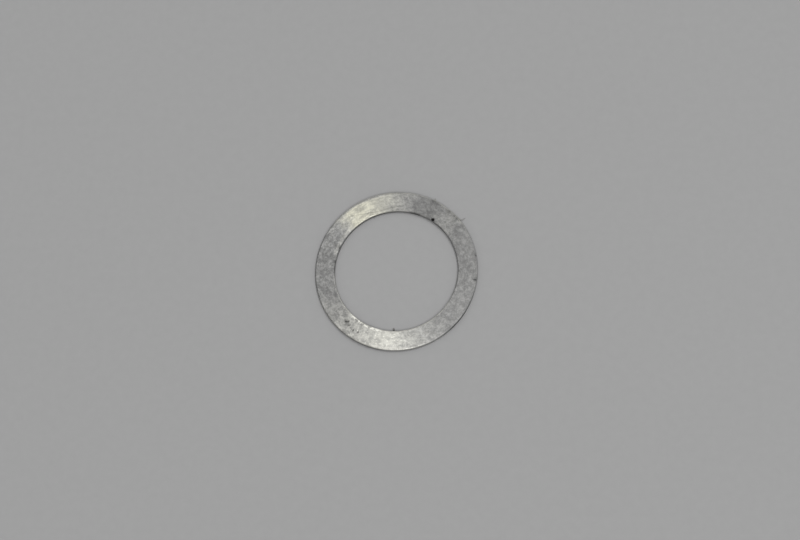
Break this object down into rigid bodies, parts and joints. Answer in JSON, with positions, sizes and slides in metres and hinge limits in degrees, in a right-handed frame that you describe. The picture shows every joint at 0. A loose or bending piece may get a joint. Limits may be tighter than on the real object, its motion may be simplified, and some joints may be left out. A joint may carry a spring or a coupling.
{
  "type": "gear spacer",
  "caption": "Thin flat steel spacer ring with a round bore, punched edges and light wear, for setting a gear's place along its shaft.",
  "frame": {"origin": "on the axis of the bore, in the plane of the bottom face", "axes": "+Z along the axis of the bore, up from the bottom face to the top face, with +X to the picture's right and +Y to the picture's top"},
  "size_m": [0.016, 0.016, 0.0005],
  "materials": {
    "steel": "tumbled sheet steel, dull grey with brighter rubbed patches"
  },
  "bodies": {
    "root": {"gear_spacer": "steel"}
  },
  "joints": []
}
